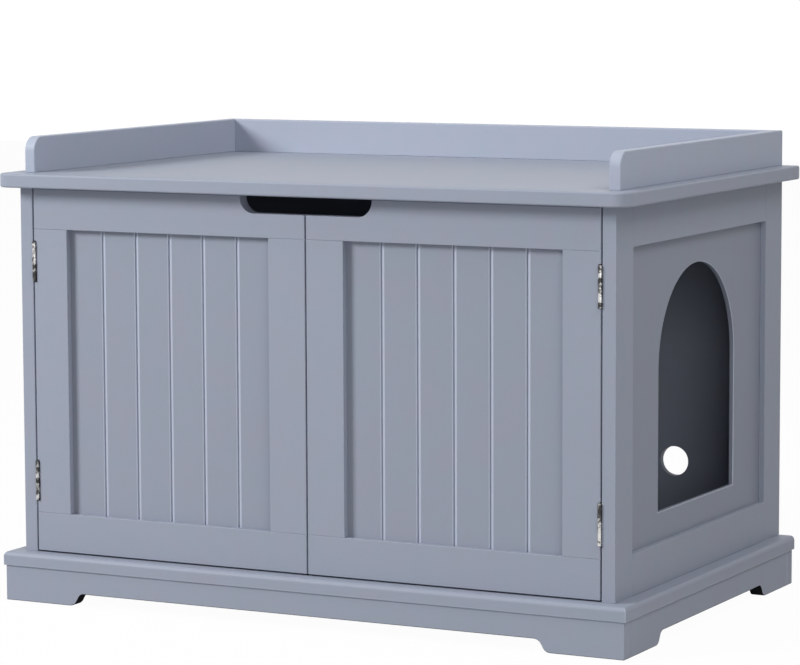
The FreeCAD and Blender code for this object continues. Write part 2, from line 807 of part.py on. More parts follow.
def make_back_panel():
    """The back, let into the rear stiles, with a round hole near one lower corner."""
    body = new_body("back_panel", carcass)
    half = post_face + size["back_rebate"] - size["back_clearance"]
    backs = (depth - size["back_thickness"], depth)
    add_box(body, (-half, half), backs, (nought, height))
    hole = [(size["cable_hole_across"], size["cable_hole_rise"])]
    cut_holes(body, "y", hole, size["cable_hole_radius"], backs)
    marks = [(side * back_screw_across, rise) for side in SIDES.values() for rise in back_screw_rises]
    cut_holes(body, "y", marks, guard_pilot_radius, backs)
    countersink(body, "y", marks, size["guard_head_radius"], guard_pilot_radius, depth, -1)


# ---- Doors --------------------------------------------------------------------------


def ease_front(body):
    """Eases the outline of a door member's front face."""
    finish_edges(
        body,
        "Fillet",
        size["member_edge_radius"],
        lambda edge: in_plane(edge, "y", nought),
    )


def door_groove():
    """The doors' groove for panel and tongues, front to back."""
    clearance = size["groove_clearance"]
    return (door_panel_front - clearance, door_panel_back + clearance)


def make_door_rail(name, side, which):
    """A door's rail, grooved along its inner edge; the upper one has half the finger notch."""
    body = new_body("%s_door_%s_rail" % (name, which), carcass)
    at_top = which == "top"
    low, high = (door_rail_low, door_high) if at_top else (door_low, door_rail_high)
    across = (side * door_meeting, side * door_edge)
    add_box(body, across, (nought, board), (low, high))
    if at_top:
        notch_end = side * size["notch_half_width"]
        cut_box(body, (side * door_meeting, notch_end), (nought, board), (notch_low, high))
        finish_edges(
            body,
            "Fillet",
            size["notch_radius"],
            lambda edge: parallel(edge, "y")
            and in_plane(edge, "x", notch_end)
            and in_plane(edge, "z", notch_low),
        )
    ease_front(body)
    panel_edge = low if at_top else high
    groove_end = panel_edge + size["groove_depth"] * (1 if at_top else -1)
    cut_box(body, across, door_groove(), (panel_edge, groove_end))
    if at_top:
        mark = [(side * size["catch_across"], strike_middle)]
        bed = size["hinge_screw_length"] - size["strike_thickness"] + size["pilot_clearance"]
        cut_holes(body, "y", mark, pilot_radius, (board - bed, board))


def make_door_stile(name, side, which):
    """A door's stile, between the rails, with a tongue in each."""
    body = new_body("%s_door_%s_stile" % (name, which), carcass)
    hinged = which == "hinge"
    outer = door_edge if hinged else door_meeting
    inner = door_edge - size["door_hinge_stile"] if hinged else door_meeting + size["door_meeting_stile"]
    add_box(body, (side * inner, side * outer), (nought, board), (door_rail_high, door_rail_low))
    ease_front(body)
    tongue_rises = (door_rail_high - tongue, door_rail_low + tongue)
    add_box(body, (side * inner, side * outer), (door_panel_front, door_panel_back), tongue_rises)
    groove_end = inner + size["groove_depth"] * (1 if hinged else -1)
    cut_box(body, (side * inner, side * groove_end), door_groove(), tongue_rises)
    if hinged:
        cut_mortises(body, side)


def cut_mortises(body, side):
    """Hinge mortises through the door's edge, and the leaves' screw holes."""
    reach = size["hinge_height"] / 2 + size["mortise_clearance"]
    floor = side * mortise_floor
    for level in hinge_levels.values():
        cut_box(body, (floor, side * door_edge), (nought, board), (level - reach, level + reach))
    finish_edges(
        body,
        "Fillet",
        size["mortise_radius"],
        lambda edge: parallel(edge, "y")
        and in_plane(edge, "x", floor)
        and any(
            abs(abs(edge.CenterOfMass.z - level.value) - reach.value) < NEAR
            for level in hinge_levels.values()
        ),
    )
    finish_edges(
        body,
        "Fillet",
        size["member_edge_radius"],
        lambda edge: parallel(edge, "z") and in_plane(edge, "x", floor) and in_plane(edge, "y", nought),
    )
    bed = size["hinge_screw_length"] - size["hinge_leaf_thickness"] + size["pilot_clearance"]
    cut_holes(body, "x", hinge_marks, pilot_radius, (floor, side * (mortise_floor - bed)))


def make_door_panel(name, side):
    """A door's beadboard panel, with V grooves between its planks."""
    body = new_body(name + "_door_panel", carcass)
    opening = (door_meeting + size["door_meeting_stile"], door_edge - size["door_hinge_stile"])
    rises = (door_rail_high - size["groove_depth"], door_rail_low + tongue)
    across = (side * (opening[0] - tongue), side * (opening[1] + tongue))
    add_box(body, across, (door_panel_front, door_panel_back), rises)
    pitch = (opening[1] - opening[0]) / size["plank_count"]
    sketch = new_sketch(body, "z", rises[0])
    bottom = door_panel_front + size["bead_depth"]
    half = size["bead_width"] / 2
    for bead in range(1, round(size["plank_count"].value)):
        middle = side * (opening[0] + pitch * bead)
        edges = [(middle - half, door_panel_front), (middle + half, door_panel_front), (middle, bottom)]
        draw_outline(sketch, edges)
    extrude(body, "Pocket", "z", sketch, rises)


# ---- Hinges -------------------------------------------------------------------------


def hinge_place(side, level):
    """The pin's middle, in the cabinet's frame."""
    return (side * axis_across, body_front + axis_back, base_top + level)


def make_hinge_leaf(name, side, level, on_post):
    """A hinge leaf: its plate, its share of the knuckles and its countersunk holes."""
    body = new_body(name, hinge_place(side, level))
    toward = side if on_post else -side
    radius = size["knuckle_radius"]
    plate_face = toward * (radius - size["hinge_leaf_thickness"])
    plate_back = toward * radius
    half = size["hinge_height"] / 2
    width = size["hinge_leaf_width"]
    add_box(body, (plate_face, plate_back), (nought, width), (-half, half))
    finish_edges(
        body,
        "Fillet",
        size["mortise_radius"],
        lambda edge: parallel(edge, "x") and in_plane(edge, "y", width),
    )
    add_discs(body, "z", [(nought, nought)], radius, (-half, half))
    clear = radius + size["knuckle_gap"]
    own_knuckles = 0 if on_post else 1
    for knuckle in range(KNUCKLES):
        if knuckle % 2 == own_knuckles:
            continue
        low = knuckle_length * knuckle - half
        high = low + knuckle_length
        start = low - size["knuckle_gap"] / 2 if knuckle > 0 else low
        end = high + size["knuckle_gap"] / 2 if knuckle < KNUCKLES - 1 else high
        cut_box(body, (-clear, clear), (-clear, clear), (start, end))
    bore = size["pin_radius"] if on_post else size["pin_radius"] + size["pin_clearance"]
    cut_holes(body, "z", [(nought, nought)], bore, (-half, half))
    reach = size["hinge_screw_reach"]
    marks = [(reach, step * size["hinge_screw_spacing"]) for step in HINGE_SCREWS]
    cut_holes(body, "x", marks, pilot_radius, (plate_face, plate_back))
    countersink(body, "x", marks, size["small_head_radius"], pilot_radius, plate_face, toward)


def make_hinge_pin(name, side, level):
    """A hinge's pin, held in the leaf on the post."""
    body = new_body(name, hinge_place(side, level))
    half = size["hinge_height"] / 2 + size["pin_proud"]
    add_discs(body, "z", [(nought, nought)], size["pin_radius"], (-half, half))
    finish_edges(
        body,
        "Chamfer",
        size["pin_proud"],
        lambda edge: in_plane(edge, "z", half) or in_plane(edge, "z", -half),
    )


# ---- Catches ------------------------------------------------------------------------


def make_catch(name, side):
    """A magnetic catch's case and screw lugs, under the bench top."""
    body = new_body(name + "_magnetic_catch", carcass)
    middle = side * size["catch_across"]
    foot = (middle - size["catch_width"] / 2, middle + size["catch_width"] / 2)
    case = (middle - size["catch_case_width"] / 2, middle + size["catch_case_width"] / 2)
    add_box(body, foot, (catch_front, catch_back), (catch_case_high, height))
    add_box(body, case, (catch_front, catch_back), (catch_case_low, catch_case_high))
    half = size["pole_width"] / 2
    for rise in pole_rises():
        cut_box(body, (middle - half, middle + half), (catch_front, catch_front + size["pole_depth"]), rise)
    marks = [(middle + offset * catch_screw_offset, catch_middle_back) for offset in BOTH_ENDS]
    cut_holes(body, "z", marks, pilot_radius, (catch_case_high, height))
    countersink(body, "z", marks, size["small_head_radius"], pilot_radius, catch_case_high, 1)


def pole_rises():
    """The two steel poles' spans in height."""
    half = size["pole_thickness"] / 2
    middles = (strike_middle - size["pole_spacing"] / 2, strike_middle + size["pole_spacing"] / 2)
    return [(middle - half, middle + half) for middle in middles]


def make_catch_poles():
    """The catches' steel poles, one piece for both catches."""
    body = new_body("catch_poles", carcass)
    half = size["pole_width"] / 2
    backs = (pole_front, catch_front + size["pole_depth"])
    sketch = new_sketch(body, "y", backs[0])
    for side in SIDES.values():
        middle = side * size["catch_across"]
        for rise in pole_rises():
            draw_outline(sketch, rectangle((middle - half, middle + half), rise))
    extrude(body, "Pad", "y", sketch, backs)


def make_strike(name, side):
    """The steel plate on a door's back that its catch holds."""
    body = new_body(name + "_strike_plate", carcass)
    middle = side * size["catch_across"]
    half_width = size["strike_width"] / 2
    half_height = size["strike_height"] / 2
    backs = (board, board + size["strike_thickness"])
    rises = (strike_middle - half_height, strike_middle + half_height)
    add_box(body, (middle - half_width, middle + half_width), backs, rises)
    cut_holes(body, "y", [(middle, strike_middle)], pilot_radius, backs)
    face = backs[1]
    countersink(body, "y", [(middle, strike_middle)], size["small_head_radius"], pilot_radius, face, -1)


# ---- Fasteners ----------------------------------------------------------------------


def make_screws():
    """All the screws, grouped by what they hold."""
    small = screw_shape(
        size["small_head_radius"].value,
        size["small_screw_radius"].value,
        size["hinge_screw_length"].value,
        (size["small_head_radius"] - size["small_screw_radius"]).value,
    )
    head_height = (size["guard_head_radius"] - size["guard_screw_radius"]).value
    long_screw = screw_shape(
        size["guard_head_radius"].value,
        size["guard_screw_radius"].value,
        size["guard_screw_length"].value,
        head_height,
    )
    back_screw = screw_shape(
        size["guard_head_radius"].value,
        size["guard_screw_radius"].value,
        size["back_screw_length"].value,
        head_height,
    )
    under = [((x, y, height), (0, 0, 1)) for x, y in side_guard_marks + rear_guard_marks]
    fastener_group("guard_rail_screws", long_screw, under)
    behind = [
        ((side * back_screw_across, depth, rise), (0, -1, 0))
        for side in SIDES.values()
        for rise in back_screw_rises
    ]
    fastener_group("back_panel_screws", back_screw, behind)
    post_leaf_face = axis_across + size["knuckle_radius"] - size["hinge_leaf_thickness"]
    door_leaf_face = mortise_floor + size["hinge_leaf_thickness"]
    posts = [
        ((side * post_leaf_face, back, rise), (side, 0, 0))
        for side in SIDES.values()
        for back, rise in hinge_marks
    ]
    fastener_group("post_hinge_screws", small, posts)
    fastener_group("catch_screws", small, [((x, y, catch_case_high), (0, 0, 1)) for x, y in catch_marks])
    for name, side in SIDES.items():
        places = [((side * door_leaf_face, back, rise), (-side, 0, 0)) for back, rise in hinge_marks]
        strike_face = board + size["strike_thickness"]
        places.append(((side * size["catch_across"], strike_face, strike_middle), (0, -1, 0)))
        fastener_group(name + "_door_screws", small, places)


def cam_shape():
    """A cam lock along +Z, with the cross bore that takes its bolt."""
    radius = size["cam_radius"].value
    body = Part.makeCylinder(radius, size["cam_depth"].value)
    bore = (size["cam_bolt_radius"] + size["pilot_clearance"]).value
    start = Vector(-radius, 0, (frame_middle - post_face).value)
    return body.cut(Part.makeCylinder(bore, radius * 2, start, Vector(1, 0, 0)))


def cam_bolt_shape():
    """A cam bolt along +Z: shank from the cam's middle, then thread in the board."""
    reach = size["cam_reach"].value
    shank = Part.makeCylinder(size["cam_bolt_radius"].value, reach)
    thread = Part.makeCylinder(size["cam_thread_radius"].value, reach + size["cam_thread_length"].value)
    return shank.fuse(thread).removeSplitter()


def dowel_shape():
    """A dowel along +Z with chamfered ends."""
    dowel = Part.makeCylinder(size["dowel_radius"].value, size["dowel_length"].value)
    ends = [edge for edge in dowel.Edges if isinstance(edge.Curve, Part.Circle)]
    return dowel.makeChamfer(size["dowel_chamfer"].value, ends)


def make_joint_fittings():
    """The cam locks, cam bolts and dowels that join the side frames to the boards."""
    reach = size["cam_reach"]
    ends = ((reach, (0, 0, -1)), (height - reach, (0, 0, 1)))
    bolts = [((x, y, level), direction) for x, y in cam_marks for level, direction in ends]
    fastener_group("cam_bolts", cam_bolt_shape(), bolts)
    cams = [
        ((side * post_face, back, level), (side, 0, 0))
        for side in SIDES.values()
        for back in cam_backs
        for level in (reach, height - reach)
    ]
    fastener_group("cam_locks", cam_shape(), cams)
    ends = ((dowel_in_frame, (0, 0, -1)), (height - dowel_in_frame, (0, 0, 1)))
    dowels = [((x, y, level), direction) for x, y in dowel_marks for level, direction in ends]
    fastener_group("dowels", dowel_shape(), dowels)


# ---- The whole cabinet --------------------------------------------------------------


def make_all():
    """Every sub-part of the cabinet."""
    make_bench_top()
    make_rear_guard()
    make_base_board()
    make_long_plinth("front_plinth", plinth_front, plinth_front + board)
    make_long_plinth("rear_plinth", plinth_rear, plinth_rear - board)
    make_corner_blocks()
    make_back_panel()
    make_catch_poles()
    for name, side in SIDES.items():
        make_side_guard(name, side)
        make_side_plinth(name, side)
        make_front_stile(name, side)
        make_rear_stile(name, side)
        make_side_rail(name, side, "top")
        make_side_rail(name, side, "bottom")
        make_side_panel(name, side, arched=name == "right")
        make_door_rail(name, side, "top")
        make_door_rail(name, side, "bottom")
        make_door_stile(name, side, "hinge")
        make_door_stile(name, side, "meeting")
        make_door_panel(name, side)
        make_catch(name, side)
        make_strike(name, side)
        for position, level in hinge_levels.items():
            make_hinge_leaf("%s_%s_post_leaf" % (name, position), side, level, True)
            make_hinge_leaf("%s_%s_door_leaf" % (name, position), side, level, False)
            make_hinge_pin("%s_%s_hinge_pin" % (name, position), side, level)
    make_screws()
    make_joint_fittings()


def check_all():
    """Stops if any object failed or any sub-part's shape is empty or unsound."""
    doc.recompute()
    for thing in doc.Objects:
        if "Invalid" in thing.State or "Error" in thing.State:
            raise RuntimeError("%s failed: %s" % (thing.Name, thing.State))
    for piece in subparts:
        if piece.Shape.isNull() or not piece.Shape.isValid() or not piece.Shape.Solids:
            raise RuntimeError("%s has no sound shape" % piece.Label)


def write_all():
    """One STEP file for each sub-part."""
    os.makedirs("parts", exist_ok=True)
    for piece in subparts:
        piece.Shape.exportStep("parts/%s.step" % piece.Label)


make_all()
check_all()
write_all()
print("%d sub-parts" % len(subparts))
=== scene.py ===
"""The looks of a cat litter box cabinet: paint, hardware, light and camera.

Everything is in metres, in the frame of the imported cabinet: +Z up, +X to the right of
someone facing the doors, +Y to the back, with the origin on the floor.
"""

import json
import math

import bmesh
import bpy
from bpy.props import FloatProperty, FloatVectorProperty, IntProperty, PointerProperty
from bpy.types import Operator, Panel, PropertyGroup
from mathutils import Matrix, Vector


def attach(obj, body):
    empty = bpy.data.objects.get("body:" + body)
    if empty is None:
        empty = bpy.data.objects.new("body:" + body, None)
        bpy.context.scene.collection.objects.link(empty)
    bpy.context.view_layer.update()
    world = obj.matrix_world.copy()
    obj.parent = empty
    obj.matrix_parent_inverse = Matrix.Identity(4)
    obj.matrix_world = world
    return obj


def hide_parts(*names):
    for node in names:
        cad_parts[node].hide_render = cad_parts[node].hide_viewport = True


bl_info = {
    "name": "Litter cabinet looks",
    "version": (1, 1, 0),
    "blender": (4, 5, 0),
    "location": "View3D > Sidebar > Cabinet",
    "description": "Paint, hardware, light and camera for a cat litter box cabinet",
    "category": "Object",
}

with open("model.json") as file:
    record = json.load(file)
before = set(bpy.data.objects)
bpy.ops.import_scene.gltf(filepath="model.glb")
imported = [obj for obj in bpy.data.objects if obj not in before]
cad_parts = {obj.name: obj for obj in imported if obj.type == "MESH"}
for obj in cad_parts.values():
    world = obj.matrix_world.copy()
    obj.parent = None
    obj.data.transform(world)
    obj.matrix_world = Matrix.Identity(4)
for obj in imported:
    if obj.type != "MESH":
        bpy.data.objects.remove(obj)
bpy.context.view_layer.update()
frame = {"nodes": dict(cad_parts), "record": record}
SLOTS = {part["node"]: part["material_slot"] for part in frame["record"]["subparts"]}

# Boards with a tone, a finish or edges of their own: painted shade on the side panels and the
# planks, painted light on the guard rails, painted shade under the plinths.
PANELS = ("left_side_panel", "right_side_panel")
PLANKS = ("left_door_panel", "right_door_panel")
GUARDS = ("left_guard_rail", "right_guard_rail", "rear_guard_rail")
PLINTHS = ("front_plinth", "left_plinth", "right_plinth", "rear_plinth")
SQUARE_EDGED = ("back_panel",)  # the recesses for its screws lie too near its edges

# Metres.
TOUCH = 0.000002  # corners closer than this are one
SAME_LEVEL = TOUCH * 5

# Degrees.
FLAT_ANGLE = 0.5  # faces that turn less are one
BOARD_ANGLE = 40  # edges that turn outward by more are rounded
GROOVE_ANGLE = 25  # the same on the doors' grooved panels
SHADING_ANGLE = 35  # edges that turn less are shaded smooth

GOLDEN_TURN = 2.39996  # radians from one fastener's turn to the next
ROUNDING_SEGMENTS = 3
# Faces that look down get the painted shade.
LOOKS_DOWN = -0.2  # a face's normal in z, or less

# The stage.
WHITE = {"Color": (1.0, 1.0, 1.0), "Strength": 1.02}
FLOOR_SIZE = 18
FLOOR_WHITE = 0.95  # the floor keeps the cabinet's shadow in the rest
FLOOR_GREYS = ((0.44, 0.44, 0.45), (0.46, 0.46, 0.47))
AMBIENT_COLOUR = (0.97, 0.98, 1.0)
FAR_CLIP = 60.0
AIM = Vector((0.0, 0.0, 0.3))
LAMPS = (
    # name, degrees round from the front to the right, degrees up, distance, size
    ("left", -45, 27, 4.4, 1.3),
    ("right", 40, 12, 4.4, 2.2),
    ("high", 70, 50, 4.4, 2.2),
    ("top", 0, 90, 3.4, 2.4),
)


# ---- Materials ----------------------------------------------------------------------


class Value:
    """A node's output that takes arithmetic: every sign adds one Math node."""

    def __init__(self, graph, socket):
        self.graph = graph
        self.socket = socket

    def __add__(self, other):
        return self.graph.math("ADD", self, other)

    def __radd__(self, other):
        return self.graph.math("ADD", other, self)

    def __sub__(self, other):
        return self.graph.math("SUBTRACT", self, other)

    def __mul__(self, other):
        return self.graph.math("MULTIPLY", self, other)

    def either(self, other):
        """The larger of the two."""
        return self.graph.math("MAXIMUM", self, other)

    def smooth(self, low, high):
        """0 below low, 1 above high and a soft step between."""
        return self.graph.add(
            "ShaderNodeMapRange",
            "Result",
            {"Value": self, "From Min": low, "From Max": high},
            interpolation_type="SMOOTHSTEP",
        )


class Graph:
    """The node tree of a material or of the world."""

    def __init__(self, owner):
        owner.use_nodes = True
        self.tree = owner.node_tree

    def put(self, socket, item):
        """Feeds a value or a constant into a socket."""
        if isinstance(item, Value):
            self.tree.links.new(item.socket, socket)
        elif socket.type == "RGBA" and len(item) == 3:
            socket.default_value = (*item, 1.0)
        else:
            socket.default_value = item

    def add(self, kind, output, inputs=None, **settings):
        """Adds a node and returns one of its outputs."""
        node = self.tree.nodes.new(kind)
        for name, setting in settings.items():
            setattr(node, name, setting)
        for key, item in (inputs or {}).items():
            self.put(node.inputs[key], item)
        return Value(self, node.outputs[output])

    def math(self, operation, first, second):
        """One Math node."""
        return self.add("ShaderNodeMath", 0, {0: first, 1: second}, operation=operation)

    def seen_directly(self):
        """1 where a ray comes from the camera, off something glossy or through glass."""
        camera = self.add("ShaderNodeLightPath", "Is Camera Ray")
        node = camera.socket.node
        glossy = Value(self, node.outputs["Is Glossy Ray"])
        through = Value(self, node.outputs["Is Transmission Ray"])
        return camera.either(glossy).either(through)


class Surface(Graph):
    """A material with its Principled shader, whose patterns follow the object."""

    def __init__(self, name, **constants):
        self.material = bpy.data.materials.new(name)
        super().__init__(self.material)
        self.shader = self.tree.nodes["Principled BSDF"]
        for socket, number in constants.items():
            self.put(self.shader.inputs[socket.replace("_", " ")], number)
        self.place = self.add("ShaderNodeTexCoord", "Object")

    def blend(self, factor, first, second):
        """A mix of two colours. The numbers are the Mix node's colour sockets."""
        inputs = {"Factor": factor, 6: first, 7: second}
        return self.add("ShaderNodeMix", 2, inputs, data_type="RGBA")

    def vector(self, operation, first, second):
        """One Vector Math node."""
        return self.add("ShaderNodeVectorMath", 0, {0: first, 1: second}, operation=operation)

    def stretched(self, scale):
        """The place in the object, stretched along the axes."""
        return self.vector("MULTIPLY", self.place, scale)

    def noise(self, scale, detail=2.0, roughness=0.5, at=None):
        """Soft random variation from 0 to 1."""
        inputs = {
            "Vector": at or self.place,
            "Scale": scale,
            "Detail": detail,
            "Roughness": roughness,
        }
        return self.add("ShaderNodeTexNoise", 0, inputs)

    def set(self, socket, item):
        """Links something that varies over the surface to the shader."""
        self.put(self.shader.inputs[socket], item)

    def bump(self, height, depth):
        """Relief of a depth in metres."""
        inputs = {"Height": height, "Distance": depth}
        self.set("Normal", self.add("ShaderNodeBump", "Normal", inputs))


def shade(colour, factor):
    """A colour made darker or lighter."""
    return tuple(channel * factor for channel in colour)


def paint_material(name, settings, tone, roughness, gloss):
    """Sprayed satin lacquer on smooth board: clouding, a drift of hue and orange peel."""
    surface = Surface(name, IOR=1.46, Specular_IOR_Level=gloss, Coat_Roughness=0.3)
    colour = shade(settings.colour, tone)
    cloud = surface.noise(4.0, detail=3.0)
    drift = surface.noise(settings.drift_scale, roughness=0.6)
    peel = surface.noise(settings.peel_scale, detail=1.0)
    grain = surface.noise(settings.grain_scale, roughness=0.7)
    red, green, blue = colour
    tint, counter = settings.drift, settings.drift * 0.3
    cool = (red * (1 - tint), green * (1 + counter), blue)
    warm = (red * (1 + tint), green * (1 - counter), blue)
    hue = surface.blend(drift.smooth(0.35, 0.65), cool, warm)
    level = (cloud - 0.5) * settings.clouding + (grain - 0.5) * settings.speckle + 1.0
    surface.set("Base Color", surface.vector("MULTIPLY", hue, level))
    surface.set("Roughness", roughness + (cloud - 0.5) * 0.10 + (grain - 0.5) * 0.12)
    surface.set("Coat Weight", cloud * 0.04)
    surface.bump(peel * 0.7 + grain * 0.3, settings.peel_depth)
    return surface.material


def wood_material(settings):
    """Bare softwood: bands along the grain, pores and paler patches."""
    surface = Surface("bare_wood", IOR=1.45)
    along = surface.stretched((60.0, 60.0, 6.0))
    bands = surface.add(
        "ShaderNodeTexWave",
        "Fac",
        {"Vector": along, "Scale": 0.8, "Distortion": 5.0, "Detail": 3.0, "Detail Scale": 1.4},
        bands_direction="Y",
    )
    fibres = surface.stretched((110.0, 110.0, 8.0))
    pores = surface.noise(18.0, detail=4.0, roughness=0.7, at=fibres)
    colour = tuple(settings.wood_colour)
    tone = surface.blend(bands, shade(colour, 0.78), shade(colour, 1.12))
    tone = surface.blend(pores.smooth(0.55, 0.75), tone, shade(colour, 0.55))
    surface.set("Base Color", tone)
    surface.set("Roughness", settings.wood_roughness + pores * 0.2)
    surface.bump(pores, 0.0002)
    return surface.material


def metal_material(name, colour, roughness, cast_scale, cast_depth, painted_glints):
    """Plated or cast metal: fine scratches, relief and tarnish. The last argument, from 0 to 1,
    also paints glints and dark reflections into the colour as bright and dark patches.
    """
    surface = Surface(name, Metallic=1.0)
    tarnish_and_glints = surface.noise(90.0, detail=4.0, roughness=0.65)
    drawn = surface.stretched((1.0, 1.0, 40.0))
    scratch = surface.noise(30.0, detail=3.0, roughness=0.6, at=drawn)
    cast = surface.noise(cast_scale, detail=3.0, roughness=0.6)
    # Bright and dark patches: real tarnish, and with the last argument at 1 painted glints and
    # painted dark reflections.
    tarnish_and_glint_mask = tarnish_and_glints.smooth(0.35 + painted_glints * 0.08, 0.8 - painted_glints * 0.22)
    clean_and_glint_colour = shade(colour, 1.05 + painted_glints * 0.75)
    tarnished_and_dark_reflection_colour = shade(colour, 0.72 - painted_glints * 0.57)
    surface.set("Base Color", surface.blend(tarnish_and_glint_mask, clean_and_glint_colour, tarnished_and_dark_reflection_colour))
    surface.set("Roughness", roughness + tarnish_and_glints * 0.14 + scratch * 0.10)
    surface.bump(cast * 0.6 + scratch * 0.4, cast_depth)
    return surface.material


def plastic_material(settings):
    """Moulded plastic with a fine spark-eroded grain."""
    surface = Surface("catch_plastic", IOR=1.49)
    colour = tuple(settings.plastic_colour)
    flow = surface.noise(25.0, detail=3.0)
    grain = surface.noise(1800.0, roughness=0.7)
    surface.set("Base Color", surface.blend(flow, shade(colour, 0.95), shade(colour, 1.03)))
    surface.set("Roughness", settings.plastic_roughness + grain * 0.15)
    surface.bump(grain, 0.00006)
    return surface.material


def wear(piece, material):
    """Gives a piece one material."""
    piece.data.materials.clear()
    piece.data.materials.append(material)


def finish_with(material, *slots):
    """Puts a material on every node of some slots."""
    for node, slot in SLOTS.items():
        if slot in slots:
            wear(frame["nodes"][node], material)


# ---- Modelling ----------------------------------------------------------------------


def alone(piece):
    """Makes a piece the only one selected, and the active one."""
    for other in list(bpy.context.selected_objects):
        other.select_set(False)
    piece.select_set(True)
    bpy.context.view_layer.objects.active = piece


def to_object(name, mesh):
    """A new object at the origin for a mesh."""
    piece = bpy.data.objects.new(name, mesh)
    bpy.context.scene.collection.objects.link(piece)
    return piece


def primitive(kind, **settings):
    """Adds one of the mesh primitives and selects it alone."""
    getattr(bpy.ops.mesh, "primitive_%s_add" % kind)(**settings)
    piece = bpy.context.object
    alone(piece)
    return piece


def settle():
    """Puts the active piece's place, turn and scale into its mesh."""
    bpy.ops.object.transform_apply(location=True, rotation=True, scale=True)


def choose(piece, kind, test):
    """Selects the faces or edges that pass a test, and goes into edit mode."""
    alone(piece)
    bpy.ops.object.mode_set(mode="EDIT")
    bpy.ops.mesh.select_mode(type=kind)
    bpy.ops.mesh.select_all(action="DESELECT")
    bpy.ops.object.mode_set(mode="OBJECT")
    for item in piece.data.polygons if kind == "FACE" else piece.data.edges:
        item.select = test(item)
    bpy.ops.object.mode_set(mode="EDIT")


def face_outward(piece):
    """Turns every face outward."""
    choose(piece, "FACE", lambda face: True)
    bpy.ops.mesh.normals_make_consistent(inside=False)
    bpy.ops.object.mode_set(mode="OBJECT")


def modify(piece, kind, **settings):
    """Adds a modifier and applies it."""
    alone(piece)
    modifier = piece.modifiers.new(kind.title(), kind)
    for name, setting in settings.items():
        setattr(modifier, name, setting)
    bpy.ops.object.modifier_apply(modifier=modifier.name)


def cut(piece, cutter):
    """Cuts one piece out of another and removes it."""
    modify(piece, "BOOLEAN", object=cutter, operation="DIFFERENCE", solver="EXACT")
    bpy.data.objects.remove(cutter)


def join(piece, *others):
    """Joins pieces into the first."""
    alone(piece)
    for other in others:
        other.select_set(True)
    bpy.ops.object.join()


def drawn_bar(name, segments, steps):
    """A round bar along +Z, drawn out of a disc: each step is a level and a radius."""
    level, radius = steps[0]
    place = (0, 0, level)
    piece = primitive(
        "circle", vertices=segments, radius=radius, fill_type="NGON", location=place
    )
    piece.name = name
    bpy.ops.object.mode_set(mode="EDIT")
    bpy.ops.mesh.select_all(action="SELECT")
    for next_level, next_radius in steps[1:]:
        rise = (0, 0, next_level - level)
        bpy.ops.mesh.extrude_region_move(TRANSFORM_OT_translate={"value": rise})
        spread = next_radius / radius
        bpy.ops.transform.resize(value=(spread, spread, 1), center_override=(0, 0, 0))
        level, radius = next_level, next_radius
    bpy.ops.object.mode_set(mode="OBJECT")
    settle()
    face_outward(piece)
    return piece


def thread(radius, core, start, end, settings):
    """A ridge wound round a bar's core, up to a radius."""
    turns = max(int((end - start) / settings.pitch), 1)
    ridge = primitive(
        "circle",
        vertices=3,
        radius=radius - core,
        location=(core, 0, start),
        rotation=(math.pi / 2, math.pi / 2, 0),
    )
    settle()
    steps = settings.segments
    modify(
        ridge,
        "SCREW",
        angle=2 * math.pi,
        screw_offset=settings.pitch,
        iterations=turns,
        steps=steps,
        render_steps=steps,
    )
    choose(ridge, "EDGE", lambda edge: True)
    bpy.ops.mesh.fill_holes(sides=3)
    bpy.ops.object.mode_set(mode="OBJECT")
    face_outward(ridge)
    return ridge


def cut_cross(piece, reach, width, depth):
    """Cuts the tapered cross that a driver fits, from z = 0 along +Z."""
    over = depth * 0.2  # how far the cutter stands out of the head
    tip = (0.42, 0.8, 1)  # its far end's length and width as shares of the near end's
    for turn in (0, math.pi / 2):
        blade = primitive(
            "cube",
            size=1,
            location=(0, 0, (depth - over) / 2),
            scale=(reach * 2, width * 2, depth + over),
        )
        settle()
        choose(blade, "FACE", lambda face: face.center.z > depth * 0.9)
        bpy.ops.transform.resize(value=tip, center_override=(0, 0, depth))
        bpy.ops.object.mode_set(mode="OBJECT")
        blade.rotation_euler.z = turn
        settle()
        cut(piece, blade)


def screw(head, shank, length, settings):
    """A countersunk screw along +Z, its head's flat at z = 0."""
    neck = head - shank
    start = neck * 1.5
    core = shank * settings.core
    end = length - shank * 1.5
    steps = (
        (0, head),
        (neck * 0.1, head),
        (neck, shank),
        (start, shank),
        (start + neck * 0.2, core),
        (end, core),
        (length, core * 0.12),
    )
    piece = drawn_bar("screw", settings.segments, steps)
    cut_cross(piece, head * 0.6, head * 0.12, neck * 1.25)
    join(piece, thread(shank, core, start, end, settings))
    return piece


def outer_edges(piece, degrees):
    """Numbers of the edges where a piece turns outward by more than an angle."""
    bm = bmesh.new()
    bm.from_mesh(piece.data)
    corner = math.radians(degrees)
    convex = (edge for edge in bm.edges if edge.is_convex)
    found = {edge.index for edge in convex if edge.calc_face_angle(0) > corner}
    bm.free()
    return found


def coat(piece, test):
    """Gives the faces that pass a test the last of a piece's materials."""
    choose(piece, "FACE", test)
    piece.active_material_index = len(piece.data.materials) - 1
    bpy.ops.object.material_slot_assign()
    bpy.ops.object.mode_set(mode="OBJECT")


def slant_beads(piece, reach):
    """Moves the bottoms of a door panel's grooves to the left, and coats their right walls in the
    lighter edge paint, a painted highlight.
    """
    depths = sorted({round(vertex.co.y, 5) for vertex in piece.data.vertices})
    bottom = depths[1]

    def deep(edge):
        ends = (piece.data.vertices[end].co.y for end in edge.vertices)
        return all(abs(level - bottom) < SAME_LEVEL for level in ends)

    choose(piece, "EDGE", deep)
    bpy.ops.transform.translate(value=(-reach, 0, 0))
    bpy.ops.object.mode_set(mode="OBJECT")
    coat(piece, lambda face: face.normal.x < -0.3 and face.normal.y < -0.5)


def paint_shade_below(piece, seal):
    """Paints shade on what looks down on a board, also in its cut-out: a dark material of its own
    on those faces.
    """
    piece.data.materials.append(seal)
    coat(piece, lambda face: face.normal.z < LOOKS_DOWN)


